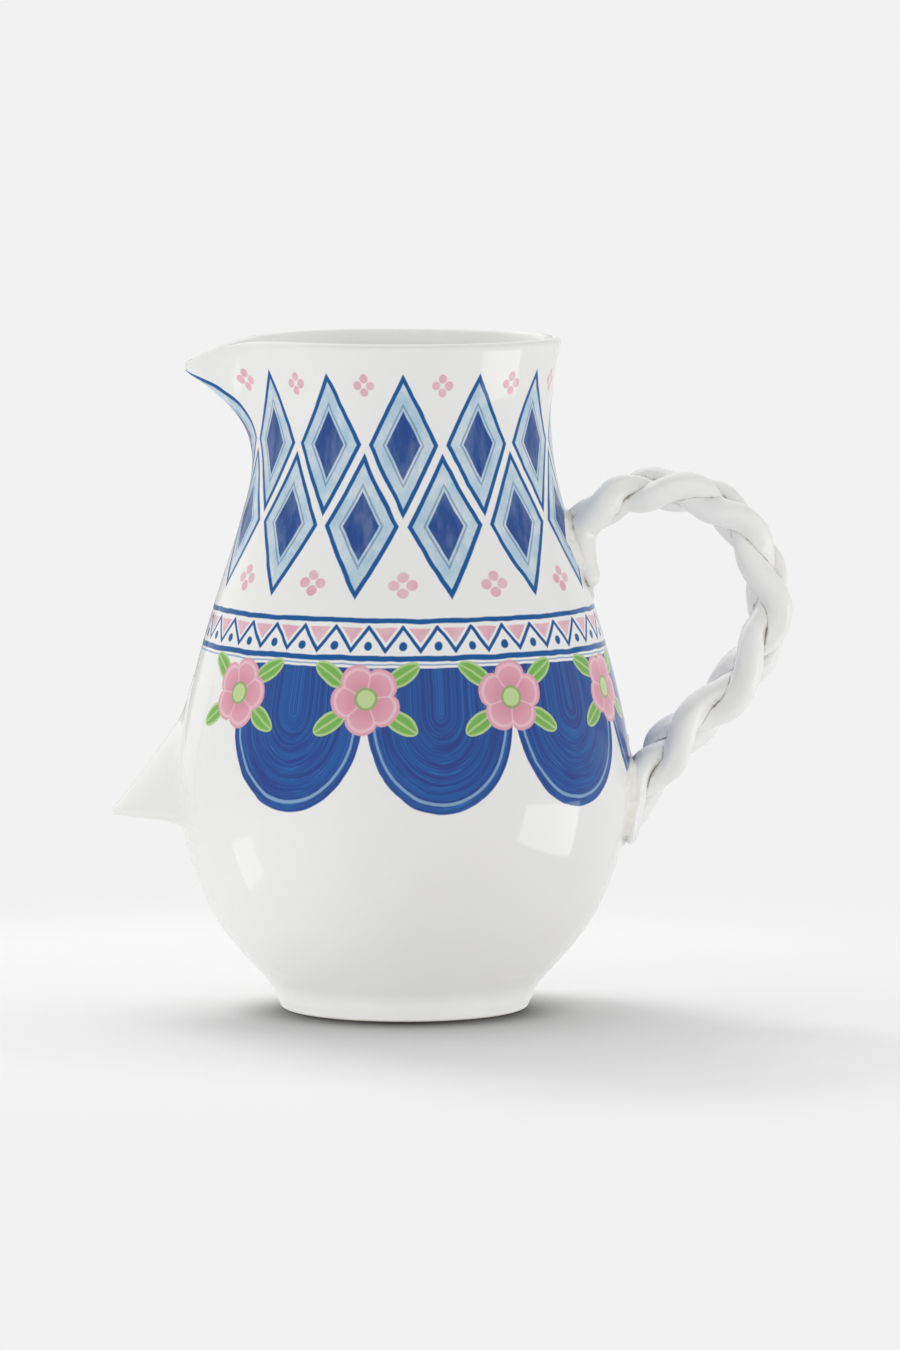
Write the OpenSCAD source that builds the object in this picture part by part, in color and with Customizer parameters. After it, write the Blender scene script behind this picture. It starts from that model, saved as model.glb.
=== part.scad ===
// A hand-built earthenware jug: a full round body on a foot ring, a neck with a spout pinched from
// its rim, a moulded nose under the spout and a handle plaited from three flattened ropes of clay.
// Z is up and the table is at zero. The spout and the nose point to -X, the handle to +X.

/* [Body] */
// Height from the table to the top of the rim
jug_height = 240; // [226:1:270]
// Radius of the belly at its widest
belly_r = 81.4; // [76:0.2:88]
// Height of the widest part of the belly
belly_z = 80; // [74:1:88]
// Radius of the neck at its narrowest
neck_r = 52.3; // [48:0.1:58]
// Height of the narrowest part of the neck
neck_z = 211; // [204:1:216]
// Radius of the rim
rim_r = 56; // [53:0.5:62]
// Thickness of the wall and of the rounded rim
wall = 4; // [3:0.1:5.5]
// Thickness of the floor
floor_thick = 6; // [4:0.5:9]

/* [Foot ring] */
// Height of the foot ring
foot_height = 8; // [6:0.5:11]
// Radius of the foot ring where it meets the body
foot_top_r = 46.5; // [45:0.5:50]
// Radius of the foot ring near the table
foot_base_r = 44.6; // [42:0.2:45]
// Width of the ring that the jug stands on
foot_ring_w = 7.1; // [5:0.1:10]
// Rounding of the foot ring's lower edges
foot_edge_r = 1.8; // [0.8:0.1:2.4]

/* [Spout] */
// How far the tip of the spout stands out past the rim
spout_reach = 22; // [14:0.5:28]
// Height of the neck that the spout is drawn out of
spout_depth = 59; // [50:1:66]
// How far the tip of the spout dips below the rim
spout_dip = 8.5; // [4:0.1:12]
// Height of the blunt end of the spout
spout_end_h = 3; // [1:0.1:5]
// Half angle of the pinched lip, seen from above
lip_pinch = 8.6; // [7:0.1:12]
// Half angle of the dip in the lip, seen from above
dip_pinch = 7.1; // [6:0.1:10]
// Half angle of the throat below the lip, seen from above
throat_pinch = 20; // [14:0.5:26]

/* [Nose] */
// How far the tip of the nose stands out from the belly
nose_reach = 23.4; // [14:0.2:28]
// Height of the flat underside of the nose
nose_under_z = 68; // [62:0.5:74]
// Height of the nose from its underside to where its ridge meets the wall
nose_height = 44; // [34:1:52]
// Half width of the nose along the wall at its underside
nose_half_w = 27; // [20:0.5:32]
// Half width of the nose along the wall at the top of its ridge
nose_top_half_w = 6; // [3:0.5:10]
// Height of the blunt tip above the underside
nose_tip_h = 3.6; // [2:0.2:6]

/* [Handle] */
// Height at which the plait leaves the neck
handle_top_z = 171.6; // [160:0.2:180]
// Height at which the plait comes back to the belly
handle_low_z = 83; // [76:0.5:92]
// How far the plait bows out past the line between its two roots
handle_reach = 60; // [48:0.5:70]
// Height of the upper strand end that is pressed down along the neck
upper_tail_h = 20.4; // [14:0.2:24]
// Height of the lower strand ends that are pressed down along the belly
lower_tail_h = 24; // [18:0.5:28]
// Half width of the plait between the middles of its outer strands
plait_half_w = 6.3; // [5.6:0.1:9]
// How far a strand weaves in and out of the plait's middle, at the belly
weave = 4.5; // [4.2:0.1:6]
// Thickness of a strand where two strands cross, at the belly
strand_thick = 8.2; // [6.5:0.1:9]
// Thickness of a strand at the edge of the plait, at the belly
strand_edge_thick = 10.2; // [8:0.1:11]
// Breadth of a strand where two strands cross
strand_breadth = 10; // [8:0.1:11]

/* [Luting clay] */
// Thickness of the luting clay under the ends of the strands
luting_thick = 1.2; // [0.8:0.1:2.4]
// Half height of the luting clay on the neck
upper_luting_half_h = 17; // [15:0.5:22]
// Half width of the luting clay on the neck
upper_luting_half_w = 11.5; // [11:0.5:16]
// Half height of the luting clay on the belly
lower_luting_half_h = 22; // [20:0.5:27]
// Half width of the luting clay on the belly
lower_luting_half_w = 14; // [13:0.5:18]

/* [Hidden] */

// Gap between pieces that are stuck together, so that none cuts into the next
seat = 0.15;
// Thinnest edge that clay is smeared out to
feather = 0.5;

// Outline of the body between the foot and the belly: shares of the height and of the swell
bowl_shares = [[0, 0], [0.1, 0.21], [0.22, 0.43], [0.39, 0.665], [0.61, 0.85], [0.81, 0.955]];
// Outline between the belly and the neck: shares of the height and of the belly's swell
shoulder_shares = [[0, 1], [0.11, 0.96], [0.24, 0.845], [0.39, 0.675], [0.54, 0.47], [0.69, 0.25],
    [0.82, 0.1], [0.92, 0.025], [1, 0]];
// Outline of the flare above the neck: shares of the height and of the flare
flare_shares = [[0.34, 0.14], [0.68, 0.52], [1, 1]];

// The rounded lip is half a circle, and the outline ends at its middle
lip_r = wall / 2;
rim_edge_z = jug_height - lip_r;
floor_z = foot_height + floor_thick;

function between(a, b, share) = a + (b - a) * share;
function curve_point(p, i, t) =
    let(a = p[max(i - 1, 0)], b = p[i], c = p[i + 1], d = p[min(i + 2, len(p) - 1)])
    b + t / 2 * (c - a + t * (2 * a - 5 * b + 4 * c - d + t * (3 * b - 3 * c + d - a)));
function curve(p, steps) = concat(
    [for (i = [0:len(p) - 2], j = [0:steps - 1]) curve_point(p, i, j / steps)],
    [p[len(p) - 1]]);

// The body's outline as points of radius and height
body_stations = concat(
    [for (s = bowl_shares)
        [between(foot_top_r, belly_r, s[1]), between(foot_height, belly_z, s[0])]],
    [for (s = shoulder_shares)
        [between(neck_r, belly_r, s[1]), between(belly_z, neck_z, s[0])]],
    [for (s = flare_shares)
        [between(neck_r, rim_r, s[1]), between(neck_z, rim_edge_z, s[0])]]);
outline_steps = 2;
body_outline = curve(body_stations, outline_steps);
wall_table = [for (p = body_outline) [p[1], p[0]]];
function wall_r(z) = lookup(z, wall_table);

// The same outline moved in by the wall, as far down as the floor
function inset(p, i) =
    let(along = p[min(i + 1, len(p) - 1)] - p[max(i - 1, 0)], run = norm(along))
    [p[i][0] - wall * along[1] / run, p[i][1] + wall * along[0] / run];
floor_corner_r = wall;
inner_wall = [for (i = [0:len(body_stations) - 1]) inset(body_stations, i)];
inner_outline = [for (p = inner_wall) if (p[1] > floor_z + floor_corner_r / 2 && p[1] < rim_edge_z) p];

// Spout: its lip narrows like a bell curve around -X, and it fades out down the neck
spout_low_z = rim_edge_z - spout_depth;
spout_fade = 3;
spout_window = 42;
function bell(angle, pinch) = 1 / (1 + pow(angle / pinch, 2));
function pinched(angle, pinch) =
    abs(angle) > spout_window ? 0
    : (bell(angle, pinch) - bell(spout_window, pinch)) / (1 - bell(spout_window, pinch));
function spout_share(z) = max(0, min(1, (z - spout_low_z) / (rim_edge_z - spout_low_z)));
function body_vertex(r, z, angle) =
    let(t = spout_share(z), pinch = between(throat_pinch, lip_pinch, t))
    let(drawn = pow(spout_share(z + spout_end_h * t), spout_fade))
    let(out = r + spout_reach * drawn * pinched(angle, pinch))
    [-out * cos(angle), -out * sin(angle), z - spout_dip * t * pinched(angle, dip_pinch)];

// Columns stand closer together at the spout than at the handle
body_columns = 64;
column_crowding = 28;
function column_angle(i) =
    let(even = 360 * i / body_columns - 180)
    even - column_crowding * sin(even);

// Faces of a tube of rings, with a fan over each end
function tube_faces(rings, sides) = concat(
    [for (k = [0:rings - 2], i = [0:sides - 1])
        [k * sides + i, k * sides + (i + 1) % sides, (k + 1) * sides + i]],
    [for (k = [0:rings - 2], i = [0:sides - 1])
        [k * sides + (i + 1) % sides, (k + 1) * sides + (i + 1) % sides, (k + 1) * sides + i]],
    [for (i = [0:sides - 1]) [(i + 1) % sides, i, rings * sides]],
    [for (i = [0:sides - 1])
        [(rings - 1) * sides + i, (rings - 1) * sides + (i + 1) % sides, rings * sides + 1]]);

function turned(faces, skip = 0) = [for (f = faces) [f[2] + skip, f[1] + skip, f[0] + skip]];

lip_steps = 4;
module body() {
    lip = [for (k = [1:lip_steps])
        [rim_r - lip_r + lip_r * cos(180 * k / lip_steps), rim_edge_z, lip_r * sin(180 * k / lip_steps)]];
    inside = [for (i = [len(inner_outline) - 1:-1:0]) [inner_outline[i][0], inner_outline[i][1], 0]];
    corner_r = inner_outline[0][0] - floor_corner_r;
    profile = concat([for (p = body_outline) [p[0], p[1], 0]], lip, inside, [[corner_r, floor_z, 0]]);
    rings = [for (p = profile, i = [0:body_columns - 1])
        body_vertex(p[0], p[1], column_angle(i)) + [0, 0, p[2]]];
    color("white")
        polyhedron(
            points = concat(rings, [[0, 0, foot_height], [0, 0, floor_z]]),
            faces = turned(tube_faces(len(profile), body_columns)));
}

// A turned ring with rounded edges, which is left bare of glaze where it stands
module foot_ring() {
    foot_hollow_r = foot_base_r - foot_ring_w;
    arc_steps = 6;
    outer_edge = [for (k = [0:arc_steps])
        [foot_base_r - foot_edge_r + foot_edge_r * sin(90 * k / arc_steps),
            foot_edge_r - foot_edge_r * cos(90 * k / arc_steps)]];
    inner_edge = [for (k = [0:arc_steps])
        [foot_hollow_r + foot_edge_r - foot_edge_r * cos(90 * k / arc_steps),
            foot_edge_r - foot_edge_r * sin(90 * k / arc_steps)]];
    color("whitesmoke")
        rotate_extrude($fn = 96)
            polygon(concat(inner_edge, outer_edge, [[foot_top_r, foot_height], [foot_hollow_r, foot_height]]));
}

// Nose: a wedge whose back follows the wall. Its ridge runs in a shallow hollow from tip to wall.
nose_rows = 10;
nose_columns = 16;
nose_ridge_hollow = 1.25;
nose_flank_hollow = 1.2;
nose_ridge_round = 0.13;
nose_edge_round = 1.4;
nose_tip_z = nose_under_z + nose_tip_h;
nose_top_z = nose_under_z + nose_height;
function nose_rise(z) = max(0, (z - nose_tip_z) / (nose_top_z - nose_tip_z));
function nose_out(z) =
    let(tip_r = wall_r(nose_tip_z) + nose_reach, top_r = wall_r(nose_top_z))
    max(0, between(top_r, tip_r, pow(1 - nose_rise(z), nose_ridge_hollow)) - wall_r(z));
function nose_half_angle(z) =
    asin(between(nose_half_w, nose_top_half_w, (z - nose_under_z) / nose_height) / wall_r(z));
function tent(x) =
    let(e = nose_ridge_round, rounded = (sqrt(x * x + e * e) - e) / (sqrt(1 + e * e) - e))
    pow(max(0, 1 - rounded), nose_flank_hollow);
module nose() {
    rows = concat(
        [[nose_under_z, -nose_edge_round]],
        [for (k = [0:nose_rows])
            [between(nose_under_z + nose_edge_round, nose_top_z, k / nose_rows), 0]]);
    across = [for (i = [0:nose_columns]) 2 * i / nose_columns - 1];
    function point(row, x, out) =
        let(a = x * nose_half_angle(row[0]), r = wall_r(row[0]) + seat + out)
        [-r * cos(a), -r * sin(a), row[0]];
    front = [for (row = rows, x = across)
        point(row, x, feather + max(0, nose_out(row[0]) * tent(x) + row[1]))];
    back = [for (row = rows, x = across) point(row, x, 0)];
    n = nose_columns + 1;
    last = len(rows) - 1;
    skin = [for (k = [0:last - 1], i = [0:nose_columns - 1]) each
        [[k * n + i, (k + 1) * n + i, k * n + i + 1], [k * n + i + 1, (k + 1) * n + i, (k + 1) * n + i + 1]]];
    border = concat(
        [for (i = [0:nose_columns - 1]) i],
        [for (k = [0:last - 1]) k * n + nose_columns],
        [for (i = [nose_columns:-1:1]) last * n + i],
        [for (k = [last:-1:1]) k * n]);
    count = len(front);
    edge = [for (i = [0:len(border) - 1])
        let(a = border[i], b = border[(i + 1) % len(border)]) each
        [[a, b, a + count], [b, b + count, a + count]]];
    color("white")
        polyhedron(
            points = concat(front, back),
            faces = concat(skin, turned(skin, count), edge));
}

// Middle line of the plait in the plane of X and Z. It climbs the neck, bows out and runs down the belly.
root_stand_off = luting_thick + weave;
low_stand_share = 0.65;
low_stand_off = luting_thick + low_stand_share * strand_thick;
loop_shares = [[0.12, 1.075], [0.305, 1.138], [0.5, 1.157], [0.73, 1.125], [0.88, 1.05], [0.965, 0.93],
    [0.99, 0.79], [0.965, 0.68], [0.89, 0.565], [0.755, 0.447], [0.57, 0.33], [0.38, 0.232], [0.175, 0.125]];
tail_flat_share = 0.5;
tail_stand_off = luting_thick + 2 * seat + tail_flat_share * strand_thick / 2;
function on_wall(z, off) = [wall_r(z) + off, z];
upper_root = on_wall(handle_top_z, root_stand_off);
lower_root = on_wall(handle_low_z, low_stand_off);
plait_stations = concat(
    [on_wall(handle_top_z - upper_tail_h, tail_stand_off)],
    [on_wall(handle_top_z - upper_tail_h / 2, tail_stand_off)],
    [upper_root],
    [for (s = loop_shares)
        [between(lower_root[0], upper_root[0], s[1]) + handle_reach * s[0],
            between(handle_low_z, handle_top_z, s[1])]],
    [lower_root],
    [on_wall(handle_low_z - lower_tail_h / 2, tail_stand_off + seat)],
    [on_wall(handle_low_z - lower_tail_h, tail_stand_off)]);
plait_steps = 4;
plait_line = curve(plait_stations, plait_steps);
plait_last = len(plait_line) - 1;
plait_run = [for (i = 0, s = 0; i <= plait_last;
    s = s + (i < plait_last ? norm(plait_line[i + 1] - plait_line[i]) : 0), i = i + 1) s];
upper_root_i = 2 * plait_steps;
lower_root_i = plait_last - 2 * plait_steps;
plait_length = plait_run[lower_root_i] - plait_run[upper_root_i];

// How far the plait has turned, in degrees, by each share of its length. It is tighter at its two roots,
// where its strands part and run straight.
turn_shares = [[0, 240], [0.05, 277], [0.19, 388], [0.33, 505], [0.51, 632], [0.69, 750], [0.89, 868],
    [1, 945], [1.15, 990]];
function plaited(i) = max(0, (plait_run[i] - plait_run[upper_root_i]) / plait_length);
function phase(i, strand) = lookup(plaited(i), turn_shares) - 120 * strand;
function along_plait(i) =
    let(run = plait_line[min(i + 1, plait_last)] - plait_line[max(i - 1, 0)])
    run / norm(run);
function side_of(i) = let(along = along_plait(i)) [-along[1], along[0]];

// Where each strand begins and ends along the plait. The first one begins as the tail on the neck,
// and the others leave the middle line there and run straight into the wall.
strand_first = [0, upper_root_i - 2, upper_root_i - 2];
strand_last = [plait_last, plait_last - 2, plait_last - 5];
tail_strand = 0;
leave_i = upper_root_i + plait_steps;
function middle_of(i, strand) =
    strand == tail_strand || i >= leave_i ? plait_line[i]
    : plait_line[leave_i] - along_plait(leave_i) * (plait_run[leave_i] - plait_run[i]);
function side_for(i, strand) = side_of(strand == tail_strand ? i : max(i, leave_i));
// The tail strand takes up its weave over this share of the plait
settled_share = 0.09;
function from_low_end(i) = (plait_run[plait_last] - plait_run[i])
    / (plait_run[plait_last] - plait_run[lower_root_i]);
function root_calm(i, strand) =
    min(1, from_low_end(i), strand == tail_strand ? plaited(i) / settled_share : 1);
function root_thick(i, strand) =
    min(1, from_low_end(i), strand == tail_strand ? plait_run[i] / plait_run[upper_root_i] : 1);
neck_weave_share = 0.66;
neck_thick_share = 0.86;
function strand_point(i, strand) =
    let(a = phase(i, strand), n = side_for(i, strand), middle = middle_of(i, strand))
    let(swell = between(neck_weave_share, 1, min(1, plaited(i))))
    let(out = -weave * swell * root_calm(i, strand) * sin(2 * a))
    [middle[0] + out * n[0], plait_half_w * sin(a), middle[1] + out * n[1]];
strand_lines = [for (k = [0:2]) [for (i = [0:plait_last]) strand_point(i, k)]];

// The point nearest to p on another strand's middle line, among the stretches close to ring i
function on_stretch(p, a, b) = a + (b - a) * max(0, min(1, (p - a) * (b - a) / ((b - a) * (b - a))));
nearest_rings = 7;
function nearest_on(p, i, strand) =
    let(low = max(strand_first[strand], i - nearest_rings))
    let(high = min(strand_last[strand], i + nearest_rings) - 1)
    let(spots = [for (j = [low:1:high])
        on_stretch(p, strand_lines[strand][j], strand_lines[strand][j + 1])])
    let(gaps = [for (q = spots) norm(p - q)], least = min(gaps))
    [for (j = [0:len(spots) - 1]) if (gaps[j] == least) spots[j]][0];
// Soft strands press each other flat: each stops just short of halfway to its neighbour's middle line
press_gap = 0.7;
function press_share(p, here, i, strand) =
    min([for (other = [0:2])
        other == strand || i + nearest_rings <= strand_first[other]
            || i - nearest_rings >= strand_last[other] ? 1
        : let(q = nearest_on(p, i, other), apart = norm(q - here), lean = (p - here) * (q - here))
            lean <= 0 ? 1 : min(1, (apart - press_gap) / 2 * apart / lean)]);
// No point of a strand comes nearer to the axis than the luting clay on the wall
function kept_off_wall(p) =
    let(r = norm([p[0], p[1]]), least = wall_r(p[2]) + luting_thick + 2 * seat)
    r < least ? [p[0] * least / r, p[1] * least / r, p[2]] : p;

strand_sides = 12;
end_rings = 4;
end_share = 0.6;
function end_taper(i, strand) =
    let(from_end = min(i - strand_first[strand], strand_last[strand] - i))
    between(end_share, 1, sin(90 * min(1, from_end / end_rings)));
function strand_ring(i, strand) =
    let(here = strand_lines[strand][i])
    let(ahead = strand_lines[strand][min(i + 1, strand_last[strand])])
    let(behind = strand_lines[strand][max(i - 1, strand_first[strand])])
    let(along = (ahead - behind) / norm(ahead - behind))
    let(n2 = side_for(i, strand), n = [n2[0], 0, n2[1]])
    let(out = (n - along * (n * along)) / norm(n - along * (n * along)), across = cross(along, out))
    let(edge = pow(sin(phase(i, strand)), 2), taper = end_taper(i, strand))
    let(flat = between(tail_flat_share, 1, root_thick(i, strand)))
    let(swell = between(neck_thick_share, 1, min(1, plaited(i))))
    let(half_out = between(strand_thick, strand_edge_thick, edge) / 2 * taper * flat * swell)
    let(half_across = between(strand_breadth, strand_edge_thick, edge) / 2 * taper)
    [for (k = [0:strand_sides - 1])
        let(p = here + half_out * cos(360 * k / strand_sides) * out
            + half_across * sin(360 * k / strand_sides) * across)
        kept_off_wall(here + (p - here) * press_share(p, here, i, strand))];
module handle_strand(strand) {
    ids = [strand_first[strand]:strand_last[strand]];
    rings = [for (i = ids) each strand_ring(i, strand)];
    count = strand_last[strand] - strand_first[strand] + 1;
    color("white")
        polyhedron(
            points = concat(rings, [
                kept_off_wall(strand_lines[strand][strand_first[strand]]),
                kept_off_wall(strand_lines[strand][strand_last[strand]])]),
            faces = turned(tube_faces(count, strand_sides)));
}

// A pad of clay smeared on the wall, thin at its edge, that the ends of the strands are pressed on
pad_rings = 3;
pad_sides = 20;
module luting(middle_z, half_h, half_w) {
    function spot(share, k, thick) =
        let(z = middle_z + half_h * share * sin(360 * k / pad_sides))
        let(a = half_w * share * cos(360 * k / pad_sides) / wall_r(z) * 180 / PI)
        let(r = wall_r(z) + seat + thick)
        [r * cos(a), r * sin(a), z];
    function pad_skin(thick, edge_thick) = concat(
        [for (j = [pad_rings:-1:1], k = [0:pad_sides - 1])
            spot(j / pad_rings, k, j == pad_rings ? edge_thick : thick)],
        [spot(0, 0, thick)]);
    front = pad_skin(luting_thick, feather);
    back = pad_skin(0, 0);
    count = len(front);
    skin = concat(
        [for (j = [0:pad_rings - 2], k = [0:pad_sides - 1])
            let(a = j * pad_sides + k, b = j * pad_sides + (k + 1) % pad_sides) each
            [[a, a + pad_sides, b], [b, a + pad_sides, b + pad_sides]]],
        [for (k = [0:pad_sides - 1])
            [(pad_rings - 1) * pad_sides + k, count - 1, (pad_rings - 1) * pad_sides + (k + 1) % pad_sides]]);
    edge = [for (k = [0:pad_sides - 1])
        let(b = (k + 1) % pad_sides) each [[k, b, k + count], [b, b + count, k + count]]];
    color("seashell")
        polyhedron(
            points = concat(front, back),
            faces = concat(skin, turned(skin, count), edge));
}
module upper_luting() {
    luting(handle_top_z - upper_tail_h / 2, upper_luting_half_h, upper_luting_half_w);
}
module lower_luting() {
    luting(handle_low_z - lower_tail_h / 3, lower_luting_half_h, lower_luting_half_w);
}

body();
foot_ring();
nose();
for (k = [0:2])
    handle_strand(k);
upper_luting();
lower_luting();
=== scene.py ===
import math
import bpy
import numpy as np
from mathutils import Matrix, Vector, kdtree, noise


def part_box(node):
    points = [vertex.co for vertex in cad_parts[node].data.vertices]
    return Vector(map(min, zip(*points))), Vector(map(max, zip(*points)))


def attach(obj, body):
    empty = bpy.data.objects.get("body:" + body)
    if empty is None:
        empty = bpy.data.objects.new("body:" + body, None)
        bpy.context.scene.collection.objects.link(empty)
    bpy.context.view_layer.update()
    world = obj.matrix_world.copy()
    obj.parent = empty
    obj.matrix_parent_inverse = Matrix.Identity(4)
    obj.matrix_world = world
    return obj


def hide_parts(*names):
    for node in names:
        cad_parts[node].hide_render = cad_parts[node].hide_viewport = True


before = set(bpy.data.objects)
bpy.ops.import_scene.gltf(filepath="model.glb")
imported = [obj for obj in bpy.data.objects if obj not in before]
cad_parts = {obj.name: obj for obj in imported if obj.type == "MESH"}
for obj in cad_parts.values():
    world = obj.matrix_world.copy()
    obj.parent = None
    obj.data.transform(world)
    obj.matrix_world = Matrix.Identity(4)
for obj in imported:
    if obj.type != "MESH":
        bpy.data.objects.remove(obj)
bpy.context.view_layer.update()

# The vessel: one hollow body of white earthenware, floor to rim, with a spout drawn out of the rim by
# hand while the clay was soft. It is glazed inside and out and painted before the last firing.
MM = 0.001
body_low, body_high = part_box("body")
jug_height = body_high[2] / MM
foot_height = body_low[2] / MM
belly_r = body_high[0] / MM
belly_z = 80
neck_r = 52.3
neck_z = 211
rim_r = 56
foot_top_r = 46.5
wall = 4
floor_thick = 6
lip_r = wall / 2
rim_edge_z = jug_height - lip_r
floor_z = foot_height + floor_thick
outline_steps, outline_spacing, outline_blur = 24, 1.3, 2.6
bowl_shares = [[0, 0], [0.1, 0.21], [0.22, 0.43], [0.39, 0.665], [0.61, 0.85], [0.81, 0.955]]
shoulder_shares = [[0, 1], [0.11, 0.96], [0.24, 0.845], [0.39, 0.675], [0.54, 0.47], [0.69, 0.25],
                   [0.82, 0.1], [0.92, 0.025], [1, 0]]
flare_shares = [[0.34, 0.14], [0.68, 0.52], [1, 1]]


def between(a, b, share):
    """The value that lies the given share of the way from a to b."""
    return a + (b - a) * share


def curve(points, steps):
    """A smooth curve through the points, with the given steps between two of them."""
    p = np.array([points[0]] + list(points) + [points[-1]], float)
    t = np.arange(steps)[:, None] / steps
    runs = []
    for a, b, c, d in zip(p, p[1:], p[2:], p[3:]):
        runs.append(b + t / 2 * (c - a + t * (2 * a - 5 * b + 4 * c - d + t * (3 * b - 3 * c + d - a))))
    return np.concatenate(runs + [p[-1:]])


def even_curve(path, spacing, blur):
    """The same path with points at an even spacing, softened over the length blur."""
    run = np.concatenate([[0], np.cumsum(np.linalg.norm(np.diff(path, axis=0), axis=1))])
    at = np.linspace(0, run[-1], max(3, int(run[-1] / spacing)))
    even = np.stack([np.interp(at, run, path[:, k]) for k in range(path.shape[1])], axis=1)
    reach = int(3 * blur / spacing)
    weights = np.exp(-0.5 * (np.arange(-reach, reach + 1) * spacing / blur) ** 2)
    ends = [2 * even[0] - even[reach:0:-1], even, 2 * even[-1] - even[-2:-reach - 2:-1]]
    padded = np.concatenate(ends)
    return np.stack([np.convolve(padded[:, k], weights / weights.sum(), "valid")
                     for k in range(path.shape[1])], axis=1)


outline = curve(
    [[between(foot_top_r, belly_r, s), between(foot_height, belly_z, h)] for h, s in bowl_shares]
    + [[between(neck_r, belly_r, s), between(belly_z, neck_z, h)] for h, s in shoulder_shares]
    + [[between(neck_r, rim_r, s), between(neck_z, rim_edge_z, h)] for h, s in flare_shares], outline_steps)
outline = even_curve(outline, outline_spacing, outline_blur)


def wall_r(z):
    """The outer radius of the round body at a height."""
    return np.interp(z, outline[:, 1], outline[:, 0])


# The spout narrows like a bell curve round -X and fades out down the neck. All angles are in degrees
# from -X, seen from above.
spout_reach = 22
spout_dip = 8.5
spout_end_h = 3
spout_low_z = rim_edge_z - 59
dip_pinch, lip_pinch, throat_pinch = 7.1, 8.6, 20
spout_window = 42
spout_fade = 3


def pinched(angle, pinch):
    """How far the spout is drawn out at an angle: 1 at its middle and 0 at the edge of its window."""
    bell = 1 / (1 + (angle / pinch) ** 2)
    edge = 1 / (1 + (spout_window / pinch) ** 2)
    return np.maximum(0, (bell - edge) / (1 - edge))


def spout_share(z):
    """How far up the spout a height lies, from 0 at its foot to 1 at the rim."""
    return np.clip((z - spout_low_z) / (rim_edge_z - spout_low_z), 0, 1)


def plan_r(r, z, angle):
    """How far the outside stands from the axis where the round body would have the radius r."""
    t = spout_share(z)
    drawn = spout_share(z + spout_end_h * t) ** spout_fade
    return r + spout_reach * drawn * pinched(angle, between(throat_pinch, lip_pinch, t))


def vessel_ring(radii, z, angle):
    """A ring of points at the given radii, dipped towards the tip of the spout."""
    turn = np.radians(angle)
    dip = spout_dip * spout_share(z) * pinched(angle, dip_pinch)
    return np.stack([-radii * np.cos(turn), -radii * np.sin(turn), z - dip], axis=1)


def inside_r(outer, angle, thick):
    """Radii that stay a wall's thickness inside the outer outline, which is given seen from above."""
    turn = np.radians(angle)
    edge = np.stack([outer * np.cos(turn), outer * np.sin(turn)], axis=1)
    low, high = np.full_like(outer, outer.min() / 2), outer.copy()
    for _ in range(18):
        middle = (low + high) / 2
        spot = np.stack([middle * np.cos(turn), middle * np.sin(turn)], axis=1)
        gap = np.sqrt(((spot[:, None] - edge[None]) ** 2).sum(axis=2).min(axis=1))
        low, high = np.where(gap > thick, middle, low), np.where(gap > thick, high, middle)
    return low


def mesh_piece(name, points, faces):
    """A smooth mesh object from points in millimetres."""
    mesh = bpy.data.meshes.new(name)
    mesh.from_pydata((np.asarray(points) * MM).tolist(), [], faces)
    mesh.validate()
    mesh.shade_smooth()
    piece = bpy.data.objects.new(name, mesh)
    bpy.context.scene.collection.objects.link(piece)
    return piece


def tube_faces(rings, sides):
    """Faces of a closed tube of rings, with a fan from the last two points over its ends."""
    faces = []
    for k in range(rings - 1):
        for i in range(sides):
            j = (i + 1) % sides
            faces.append((k * sides + i, (k + 1) * sides + i, (k + 1) * sides + j, k * sides + j))
    last = (rings - 1) * sides
    for i in range(sides):
        j = (i + 1) % sides
        faces.append((i, j, rings * sides))
        faces.append((last + j, last + i, rings * sides + 1))
    return faces


# Rings of points run up the outside, over the lip and down the inside to the floor. The columns stand
# closer together round the spout.
vessel_columns = 288
column_crowding = 28
base_sag = 0.5
lip_step = 15
base_rings = 10
base_low_r = 6
even_turn = 360 * np.arange(vessel_columns) / vessel_columns - 180
vessel_angle = even_turn - column_crowding * np.sin(np.radians(even_turn))
rings = []
for r in np.linspace(base_low_r, foot_top_r - 1, base_rings):
    sag = base_sag * (1 - (r / foot_top_r) ** 2)
    rings.append(vessel_ring(np.full(vessel_columns, r), foot_height + sag, vessel_angle))
for r, z in outline:
    rings.append(vessel_ring(plan_r(r, z, vessel_angle), z, vessel_angle))
rim_out = plan_r(outline[-1, 0], rim_edge_z, vessel_angle)
rim_in = inside_r(rim_out, vessel_angle, wall)
for turn in np.radians(np.arange(lip_step, 180, lip_step)):
    radii = between(rim_in, rim_out, (1 + math.cos(turn)) / 2)
    lip = vessel_ring(radii, rim_edge_z, vessel_angle)
    lip[:, 2] += lip_r * math.sin(turn)
    rings.append(lip)
slope = np.gradient(outline[:, 0], outline[:, 1])
corner_h, corner_r = 13, 15
most_lean = 1.5
for (r, z), lean in list(zip(outline, slope))[::-2]:
    if z < floor_z:
        break
    inner = inside_r(plan_r(r, z, vessel_angle), vessel_angle, wall * min(most_lean, math.hypot(1, lean)))
    depth = max(0, (floor_z + corner_h - z) / corner_h)
    inner = inner - corner_r * (1 - math.sqrt(1 - depth * depth))
    rings.append(vessel_ring(inner, z, vessel_angle))
floor_r = np.linalg.norm(rings[-1][0, :2])
for share in (0.93, 0.82, 0.68, 0.5, 0.3, 0.12):
    rings.append(vessel_ring(np.full(vessel_columns, floor_r * share), floor_z, vessel_angle))
rings = np.concatenate(rings)

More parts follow.
